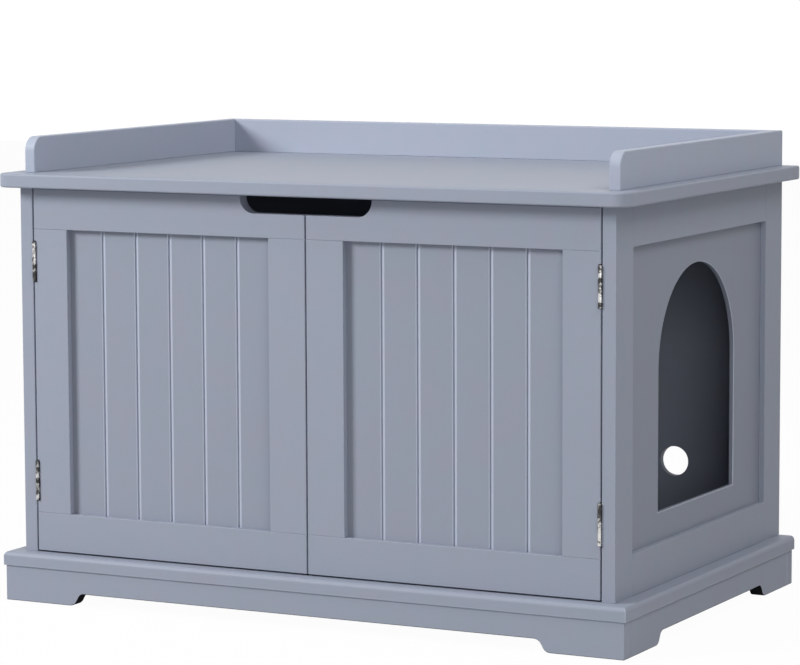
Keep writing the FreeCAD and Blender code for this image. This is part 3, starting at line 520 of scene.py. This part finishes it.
def refined(node, width, highlight_edging=None, slant=0):
    """A copy of a node's solid with its outer edges rounded. Where an edging material is given,
    the rounded edges wear it; the boards' edging is lighter, a painted highlight.
    """
    piece = to_object(node + "_finished", frame["nodes"][node].data.copy())
    if highlight_edging:
        piece.data.materials.append(highlight_edging)
    choose(piece, "FACE", lambda face: True)
    bpy.ops.mesh.remove_doubles(threshold=TOUCH)
    bpy.ops.mesh.dissolve_limited(angle_limit=math.radians(FLAT_ANGLE))
    bpy.ops.object.mode_set(mode="OBJECT")
    if slant:
        slant_beads(piece, slant)
    outer = outer_edges(piece, GROOVE_ANGLE if slant else BOARD_ANGLE)
    choose(piece, "EDGE", lambda edge: edge.index in outer)
    bpy.ops.mesh.bevel(
        offset=width,
        segments=ROUNDING_SEGMENTS,
        affect="EDGES",
        clamp_overlap=False,
        material=len(piece.data.materials) - 1,
    )
    bpy.ops.object.mode_set(mode="OBJECT")
    return piece


def islands(node):
    """The corners of each separate solid of a node."""
    bm = bmesh.new()
    bm.from_mesh(frame["nodes"][node].data)
    bmesh.ops.remove_doubles(bm, verts=bm.verts, dist=TOUCH)
    found = []
    for seed in bm.verts:
        if seed.tag:
            continue
        seed.tag = True
        reached = [seed]
        for vert in reached:
            for edge in vert.link_edges:
                other = edge.other_vert(vert)
                if not other.tag:
                    other.tag = True
                    reached.append(other)
        found.append([vert.co.copy() for vert in reached])
    bm.free()
    return found


def fasteners(node, axis=None):
    """The head's centre and the direction of each fastener of a node, from its solids.

    A fastener lies along its longest side where no axis is given. Its head is its wider end.
    """
    found = []
    for corners in islands(node):
        low = Vector(min(corner[i] for corner in corners) for i in range(3))
        high = Vector(max(corner[i] for corner in corners) for i in range(3))
        size, middle = high - low, (low + high) / 2
        along = max(range(3), key=lambda i: size[i]) if axis is None else axis

        def wide(level):
            point = middle.copy()
            point[along] = level
            end = [corner for corner in corners if abs(corner[along] - level) < SAME_LEVEL]
            return round(max((corner - point).length for corner in end), 5), -abs(level)

        head = max(low[along], high[along], key=wide)
        point = middle.copy()
        point[along] = head
        direction = Vector((0, 0, 0))
        direction[along] = 1 if head == low[along] else -1
        found.append((point, direction))
    return found


def copies(name, piece, places):
    """One mesh with a copy of a piece at each place, every one turned a little further."""
    bm = bmesh.new()
    for count, (point, direction) in enumerate(places):
        copy = piece.data.copy()
        turn = Vector((0, 0, 1)).rotation_difference(direction).to_matrix().to_4x4()
        spin = Matrix.Rotation(GOLDEN_TURN * count, 4, "Z")
        copy.transform(Matrix.Translation(point) @ turn @ spin)
        bm.from_mesh(copy)
        bpy.data.meshes.remove(copy)
    mesh = bpy.data.meshes.new(name)
    bm.to_mesh(mesh)
    bm.free()
    return to_object(name, mesh)


def dress(piece, node):
    """Finishes a piece: shading, the material and body of the node it replaces, and hides that
    node.
    """
    alone(piece)
    bpy.ops.object.shade_smooth_by_angle(angle=math.radians(SHADING_ANGLE))
    modify(piece, "WEIGHTED_NORMAL", keep_sharp=True)
    if not piece.data.materials:
        wear(piece, frame["nodes"][node].data.materials[0])
    bodies = frame["record"]["behaviour"]["bodies"]
    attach(piece, next(body for body, nodes in bodies.items() if node in nodes))
    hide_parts(node)


# ---- Settings -----------------------------------------------------------------------


def colour_setting(name, description, default):
    """A colour."""
    return FloatVectorProperty(
        name=name, description=description, subtype="COLOR", size=3, min=0, max=1, default=default
    )


def share_setting(name, description, default):
    """A share from 0 to 1."""
    return FloatProperty(
        name=name, description=description, subtype="FACTOR", min=0, max=1, default=default
    )


def length_setting(name, description, default):
    """A length in metres."""
    return FloatProperty(
        name=name, description=description, unit="LENGTH", min=0, precision=6, default=default
    )


def power_setting(name, description, default):
    """A lamp's power."""
    return FloatProperty(name=name, description=description, unit="POWER", min=0, default=default)


def number_setting(name, description, default):
    """A plain number."""
    return FloatProperty(name=name, description=description, min=0, default=default)


def angle_setting(name, description, degrees):
    """An angle, given in degrees."""
    default = math.radians(degrees)
    return FloatProperty(name=name, description=description, subtype="ANGLE", default=default)


class CabinetPaint(PropertyGroup):
    """The sprayed paint."""

    colour: colour_setting("Colour", "Paint of the boards", (0.305, 0.333, 0.405))
    # The next three tones paint light and shade: darker side panels and planks, lighter guard
    # rails.
    panel_shade_tone: number_setting("Side panels", "Tone of the thin side panels", 0.84)
    plank_shade_tone: number_setting("Planks", "Tone of the doors' panels", 0.94)
    guard_light_tone: number_setting("Guard rails", "Tone of the guard rails", 1.30)
    # Lighter tone of the rounded edges and of the grooves' right walls: a painted highlight.
    edge_highlight_tone: number_setting("Edges", "Tone of the rounded edges", 1.35)
    gloss: share_setting("Gloss", "Mirror-like part of the lacquer's light", 0.15)
    edge_gloss: share_setting("Edge gloss", "The same where the lacquer gathers on edges", 0.70)
    roughness: share_setting("Roughness", "Roughness of the lacquer", 0.46)
    edge_roughness: share_setting("Edge roughness", "Roughness of the lacquer on edges", 0.36)
    # A dark paint that stands for shade on the plinth's cut-outs and undersides.
    painted_shade_tone: number_setting("Seal", "Tone of the plinth's sealed cut-outs and undersides", 0.05)
    painted_shade_roughness: share_setting("Seal roughness", "Roughness of the seal", 0.80)
    clouding: share_setting("Clouding", "Slow change of tone", 0.035)
    speckle: share_setting("Speckle", "Fine change of tone", 0.05)
    drift: share_setting("Hue drift", "Slow change of hue", 0.018)
    drift_scale: number_setting("Drift scale", "Patches of hue per metre", 26.0)
    peel_scale: number_setting("Orange peel scale", "Waves of the lacquer per metre", 170.0)
    peel_depth: length_setting("Orange peel depth", "Depth of the waves", 0.00006)
    grain_scale: number_setting("Grain scale", "Grains of the spray per metre", 1300.0)


class CabinetMaterials(PropertyGroup):
    """The bare wood, the metals and the plastic."""

    wood_colour: colour_setting("Wood", "Glue blocks and dowels", (0.60, 0.42, 0.24))
    wood_roughness: share_setting("Wood roughness", "Surface of the bare wood", 0.55)
    nickel_colour: colour_setting("Nickel", "Hinges and their screws", (0.36, 0.355, 0.35))
    nickel_roughness: share_setting("Nickel roughness", "Gloss of the plating", 0.16)
    zinc_colour: colour_setting("Zinc", "Cam locks", (0.52, 0.53, 0.55))
    zinc_roughness: share_setting("Zinc roughness", "Gloss of the casting", 0.42)
    steel_colour: colour_setting("Steel", "Screws, bolts and strike plates", (0.60, 0.61, 0.63))
    steel_roughness: share_setting("Steel roughness", "Gloss of the steel", 0.30)
    plastic_colour: colour_setting("Plastic", "Cases of the catches", (0.78, 0.78, 0.76))
    plastic_roughness: share_setting("Plastic roughness", "Gloss of the moulding", 0.40)


class CabinetHardware(PropertyGroup):
    """Shapes of the hardware."""

    pitch: length_setting("Thread pitch", "Rise of a screw's thread in one turn", 0.0014)
    core: share_setting("Thread core", "Core of a thread as a share of its radius", 0.72)
    segments: IntProperty(
        name="Segments", description="Sides of a round bar", default=20, min=8, max=64
    )
    small_head: length_setting("Small head", "Radius of a hinge screw's head", 0.0026)
    small_shank: length_setting("Small shank", "Radius of a hinge screw", 0.0015)
    small_length: length_setting("Small screw", "Length of a hinge screw", 0.012)
    large_head: length_setting("Large head", "Radius of a carcass screw's head", 0.004)
    large_shank: length_setting("Large shank", "Radius of a carcass screw", 0.002)
    back_length: length_setting("Back screw", "Length of a screw in the back", 0.020)
    guard_length: length_setting("Guard screw", "Length of a guard rail's screw", 0.040)
    board_edge: length_setting("Board edges", "Rounding of the boards' edges", 0.0008)
    bead_slant: length_setting("Groove slant", "Grooves' bottoms moved to the left", 0.0014)
    hinge_edge: length_setting("Hinge edges", "Broken edges of the hinges", 0.0002)
    catch_edge: length_setting("Catch edges", "Rounded edges of the catches", 0.0008)
    plate_edge: length_setting("Plate edges", "Broken edges of strike plates and poles", 0.0002)
    cam_radius: length_setting("Cam", "Radius of a cam lock", 0.0075)
    cam_depth: length_setting("Cam depth", "Depth of a cam lock", 0.0124)
    cam_bore: length_setting("Cam bore", "Radius of the hole for the bolt", 0.0036)
    cam_bore_level: length_setting("Cam bore level", "Bolt's middle behind the face", 0.009)
    bolt_radius: length_setting("Bolt", "Radius of a cam bolt's shank", 0.0035)
    bolt_thread: length_setting("Bolt thread", "Radius of a cam bolt's thread", 0.0025)
    bolt_reach: length_setting("Bolt shank", "Length of a cam bolt's shank", 0.024)
    bolt_length: length_setting("Bolt length", "Length of a cam bolt", 0.035)
    dowel_radius: length_setting("Dowel", "Radius of a dowel", 0.004)
    dowel_length: length_setting("Dowel length", "Length of a dowel", 0.028)


class CabinetStage(PropertyGroup):
    """Camera and lights."""

    camera_place: FloatVectorProperty(
        name="Camera",
        description="Camera's place",
        subtype="TRANSLATION",
        default=(2.0268, -3.9294, 0.8363),
    )
    yaw: angle_setting("Yaw", "Camera's turn to the left", 27.314)
    pitch: angle_setting("Pitch", "Camera's tilt down", 6.351)
    roll: angle_setting("Roll", "Camera's roll", -0.221)
    lens: number_setting("Lens", "Focal length in millimetres", 152.8)
    left: power_setting("Left light", "Soft box on the left", 160.0)
    right: power_setting("Right light", "Soft box in front on the right", 39.0)
    high: power_setting("High light", "Soft box high on the right", 78.0)
    top: power_setting("Top light", "Soft box overhead", 20.0)
    ambient: number_setting("Ambient", "Light from all round", 0.045)


class CabinetLooks(PropertyGroup):
    """All the settings."""

    paint: PointerProperty(type=CabinetPaint)
    materials: PointerProperty(type=CabinetMaterials)
    hardware: PointerProperty(type=CabinetHardware)
    stage: PointerProperty(type=CabinetStage)


# ---- Operators ----------------------------------------------------------------------


class CABINET_OT_finishes(Operator):
    """Paints the boards and gives the hardware its finishes"""

    bl_idname = "cabinet.finishes"
    bl_label = "Paint and finishes"

    def execute(self, context):
        looks = context.scene.cabinet_looks
        self.paints(looks.paint)
        self.hardware(looks.materials)
        return {"FINISHED"}

    @staticmethod
    def paints(paint):
        """The lacquer, in lighter and darker copies that paint light and shade, on edges too in a
        lighter tone as a painted highlight, and a dark paint that stands for shade.
        """
        plain = paint_material("paint", paint, 1.0, paint.roughness, paint.gloss)
        finish_with(plain, "painted_wood")
        edge_highlight_tone, edge_roughness = paint.edge_highlight_tone, paint.edge_roughness
        # The edges' lacquer: glossier, and lighter in tone as a painted highlight.
        paint_material("edge_paint", paint, edge_highlight_tone, edge_roughness, paint.edge_gloss)
        # A dark paint that stands for shade under the plinth.
        paint_material("dark_seal", paint, paint.painted_shade_tone, paint.painted_shade_roughness, 0)
        # Lit and shaded copies of the paint: painted shade on the recessed side panels and on the
        # planks, painted light on the guard rails.
        lit_and_shaded_paints = (
            ("panel_paint", paint.panel_shade_tone, PANELS),
            ("plank_paint", paint.plank_shade_tone, PLANKS),
            ("guard_paint", paint.guard_light_tone, GUARDS),
        )
        for name, tone, nodes in lit_and_shaded_paints:
            material = paint_material(name, paint, tone, paint.roughness, paint.gloss)
            for node in nodes:
                wear(frame["nodes"][node], material)

    @staticmethod
    def hardware(settings):
        """Bare wood, metals and plastic."""
        finish_with(wood_material(settings), "bare_wood")
        metals = (
            # name, scale and depth of its relief, share of painted glints and painted dark
            # reflections in its colour, slots
            ("nickel", 900.0, 0.00001, 1.0, ("hinge_nickel",)),
            ("zinc", 700.0, 0.00005, 0.0, ("cam_zinc",)),
            ("steel", 900.0, 0.00002, 0.0, ("screw_steel", "catch_steel")),
        )
        for name, scale, depth, painted_glints, slots in metals:
            colour = getattr(settings, name + "_colour")
            roughness = getattr(settings, name + "_roughness")
            metal = metal_material(name, colour, roughness, scale, depth, painted_glints)
            finish_with(metal, *slots)
        finish_with(plastic_material(settings), "catch_plastic")


class CABINET_OT_boards(Operator):
    """Rounds the boards' edges a little in a lighter paint that stands for a highlight, slants the
    doors' grooves and paints shade under the plinth
    """

    bl_idname = "cabinet.boards"
    bl_label = "Boards"

    def execute(self, context):
        settings = context.scene.cabinet_looks.hardware
        width = settings.board_edge
        # The lighter edge paint is a painted highlight, and the dark paint is painted shade.
        highlight_edging = bpy.data.materials["edge_paint"]
        seal = bpy.data.materials["dark_seal"]
        for node, slot in SLOTS.items():
            if slot == "painted_wood" and node not in SQUARE_EDGED:
                slant = settings.bead_slant if node in PLANKS else 0
                board = refined(node, width, highlight_edging, slant)
                # The plinths' downward faces get painted shade.
                if node in PLINTHS:
                    paint_shade_below(board, seal)
                dress(board, node)
        return {"FINISHED"}


class CABINET_OT_hardware(Operator):
    """Breaks the edges of hinges, magnetic catches, their poles and the strike plates"""

    bl_idname = "cabinet.hardware"
    bl_label = "Hinges and catches"

    def execute(self, context):
        settings = context.scene.cabinet_looks.hardware
        widths = (
            ("_leaf", settings.hinge_edge),
            ("_hinge_pin", settings.hinge_edge),
            ("_magnetic_catch", settings.catch_edge),
            ("_strike_plate", settings.plate_edge),
            ("catch_poles", settings.plate_edge),
        )
        for ending, width in widths:
            for node in SLOTS:
                if node.endswith(ending):
                    dress(refined(node, width), node)
        return {"FINISHED"}


class CABINET_OT_screws(Operator):
    """Models the screws with cross recesses and threads"""

    bl_idname = "cabinet.screws"
    bl_label = "Screws"

    def execute(self, context):
        settings = context.scene.cabinet_looks.hardware
        small = screw(settings.small_head, settings.small_shank, settings.small_length, settings)
        large = settings.large_head, settings.large_shank
        back = screw(*large, settings.back_length, settings)
        guard = screw(*large, settings.guard_length, settings)
        groups = (
            ("post_hinge_screws", small),
            ("left_door_screws", small),
            ("right_door_screws", small),
            ("catch_screws", small),
            ("back_panel_screws", back),
            ("guard_rail_screws", guard),
        )
        for node, piece in groups:
            dress(copies(node + "_threaded", piece, fasteners(node)), node)
        for piece in (small, back, guard):
            bpy.data.objects.remove(piece)
        return {"FINISHED"}


class CABINET_OT_fittings(Operator):
    """Models the cam locks, their bolts and the dowels"""

    bl_idname = "cabinet.fittings"
    bl_label = "Joint fittings"

    def execute(self, context):
        settings = context.scene.cabinet_looks.hardware
        across = 0
        groups = (
            ("cam_locks", self.cam(settings), across),
            ("cam_bolts", self.bolt(settings), None),
            ("dowels", self.dowel(settings), None),
        )
        for node, piece, axis in groups:
            dress(copies(node + "_finished", piece, fasteners(node, axis)), node)
            bpy.data.objects.remove(piece)
        return {"FINISHED"}

    @staticmethod
    def cam(settings):
        """A cam lock along +Z: rim, sunk face with a cross and a pointer, bore for its bolt."""
        radius, depth = settings.cam_radius, settings.cam_depth
        rim = radius * 0.1
        chamfer = 0.0001
        steps = (
            (rim, radius * 0.01),
            (rim, radius * 0.8),
            (rim / 2, radius - rim),
            (0, radius - rim * 0.8),
            (chamfer, radius),
            (depth, radius),
        )
        piece = drawn_bar("cam", settings.segments * 2, steps)
        cut_cross(piece, radius * 0.5, radius * 0.1, radius * 0.6)
        pointer = primitive(
            "cylinder",
            vertices=3,
            radius=radius * 0.12,
            depth=rim * 2,
            location=(radius * 0.68, 0, rim),
            rotation=(0, 0, -math.pi / 2),
        )
        cut(piece, pointer)
        bore = primitive(
            "cylinder",
            vertices=settings.segments,
            radius=settings.cam_bore,
            depth=radius * 4,
            location=(0, 0, settings.cam_bore_level),
            rotation=(0, math.pi / 2, 0),
        )
        cut(piece, bore)
        return piece

    @staticmethod
    def bolt(settings):
        """A cam bolt along +Z: ball head, neck, shank and thread."""
        radius = settings.bolt_radius
        core = settings.bolt_thread * settings.core
        reach, length = settings.bolt_reach, settings.bolt_length
        steps = (
            (0, radius * 0.6),
            (radius * 0.3, radius * 0.9),
            (radius * 0.8, radius),
            (radius * 1.3, radius * 0.9),
            (radius * 1.7, radius * 0.55),
            (radius * 2.6, radius * 0.55),
            (radius * 2.9, radius),
            (reach, radius),
            (reach, core),
            (length, core * 0.9),
        )
        piece = drawn_bar("bolt", settings.segments, steps)
        half_turn = settings.pitch / 2
        ridge = thread(settings.bolt_thread, core, reach + half_turn, length - half_turn, settings)
        join(piece, ridge)
        return piece

    @staticmethod
    def dowel(settings):
        """A fluted dowel along +Z with chamfered ends."""
        radius, length = settings.dowel_radius, settings.dowel_length
        chamfer = radius / 4
        sides = 36
        flute_depth = 0.93  # its bottom's radius as a share of the dowel's
        steps = (
            (0, radius - chamfer),
            (chamfer, radius),
            (length - chamfer, radius),
            (length, radius - chamfer),
        )
        piece = drawn_bar("dowel", sides, steps)

        def flute(edge):
            start, end = (piece.data.vertices[index].co for index in edge.vertices)
            upright = abs(start.z - end.z) > length / 2
            turn = round(math.atan2(start.y, start.x) / (2 * math.pi) * sides)
            return upright and turn % 2 == 0

        choose(piece, "EDGE", flute)
        middle = (0, 0, length / 2)
        bpy.ops.transform.resize(value=(flute_depth, flute_depth, 1), center_override=middle)
        bpy.ops.object.mode_set(mode="OBJECT")
        return piece


class CABINET_OT_stage(Operator):
    """Makes the floor, the lights and the camera"""

    bl_idname = "cabinet.stage"
    bl_label = "Stage"

    def execute(self, context):
        settings = context.scene.cabinet_looks.stage
        self.floor()
        self.world(context.scene, settings)
        for name, azimuth, rise, distance, size in LAMPS:
            self.lamp(name, azimuth, rise, distance, size, getattr(settings, name))
        self.camera(context.scene, settings)
        context.scene.view_settings.view_transform = "Standard"
        return {"FINISHED"}

    @staticmethod
    def floor():
        """A pale floor that the camera sees as almost white."""
        floor = primitive("plane", size=FLOOR_SIZE)
        floor.name = "floor"
        surface = Surface("floor", Roughness=0.9)
        speckle = surface.noise(40.0, detail=3.0)
        surface.set("Base Color", surface.blend(speckle, *FLOOR_GREYS))
        glow = surface.add("ShaderNodeEmission", 0, WHITE)
        plain = Value(surface, surface.shader.outputs[0])
        inputs = {0: surface.seen_directly() * FLOOR_WHITE, 1: plain, 2: glow}
        mixed = surface.add("ShaderNodeMixShader", 0, inputs)
        surface.put(surface.tree.nodes["Material Output"].inputs["Surface"], mixed)
        wear(floor, surface.material)

    @staticmethod
    def world(scene, settings):
        """White behind the cabinet and soft light from all round."""
        scene.world = bpy.data.worlds.new("studio")
        graph = Graph(scene.world)
        ambient = graph.tree.nodes["Background"]
        graph.put(ambient.inputs["Color"], AMBIENT_COLOUR)
        graph.put(ambient.inputs["Strength"], settings.ambient)
        backdrop = graph.add("ShaderNodeBackground", 0, WHITE)
        inputs = {0: graph.seen_directly(), 1: Value(graph, ambient.outputs[0]), 2: backdrop}
        mixed = graph.add("ShaderNodeMixShader", 0, inputs)
        graph.put(graph.tree.nodes["World Output"].inputs["Surface"], mixed)

    @staticmethod
    def lamp(name, azimuth, rise, distance, size, power):
        """A square soft box aimed at the cabinet's middle."""
        data = bpy.data.lights.new(name, "AREA")
        data.size = size
        data.energy = power
        lamp = to_object(name, data)
        turn, lift = math.radians(azimuth), math.radians(rise)
        level = math.cos(lift)
        away = Vector((math.sin(turn) * level, -math.cos(turn) * level, math.sin(lift)))
        lamp.location = AIM + away * distance
        lamp.rotation_euler = away.to_track_quat("Z", "Y").to_euler()

    @staticmethod
    def camera(scene, settings):
        """The camera where the photograph was taken."""
        data = bpy.data.cameras.new("camera")
        data.lens = settings.lens
        data.clip_end = FAR_CLIP
        camera = to_object("camera", data)
        turn = Matrix.Rotation(settings.yaw, 3, "Z")
        tilt = Matrix.Rotation(math.pi / 2 - settings.pitch, 3, "X")
        roll = Matrix.Rotation(settings.roll, 3, "Z")
        camera.rotation_euler = (turn @ tilt @ roll).to_euler()
        camera.location = settings.camera_place
        scene.camera = camera


class CABINET_PT_looks(Panel):
    """Buttons for each stage of the looks"""

    bl_idname = "CABINET_PT_looks"
    bl_label = "Litter cabinet"
    bl_space_type = "VIEW_3D"
    bl_region_type = "UI"
    bl_category = "Cabinet"

    def draw(self, context):
        for operator in OPERATORS:
            self.layout.operator(operator.bl_idname)


GROUPS = (CabinetPaint, CabinetMaterials, CabinetHardware, CabinetStage, CabinetLooks)
OPERATORS = (
    CABINET_OT_finishes,
    CABINET_OT_boards,
    CABINET_OT_hardware,
    CABINET_OT_screws,
    CABINET_OT_fittings,
    CABINET_OT_stage,
)
CLASSES = (*GROUPS, *OPERATORS, CABINET_PT_looks)


def register():
    """Registers the classes and the settings."""
    for item in CLASSES:
        bpy.utils.register_class(item)
    bpy.types.Scene.cabinet_looks = PointerProperty(type=CabinetLooks)


def unregister():
    """Removes them again."""
    del bpy.types.Scene.cabinet_looks
    for item in reversed(CLASSES):
        bpy.utils.unregister_class(item)


def main():
    """Registers the add-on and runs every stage."""
    register()
    bpy.ops.cabinet.finishes()
    bpy.ops.cabinet.boards()
    bpy.ops.cabinet.hardware()
    bpy.ops.cabinet.screws()
    bpy.ops.cabinet.fittings()
    bpy.ops.cabinet.stage()


if __name__ == "__main__":
    main()
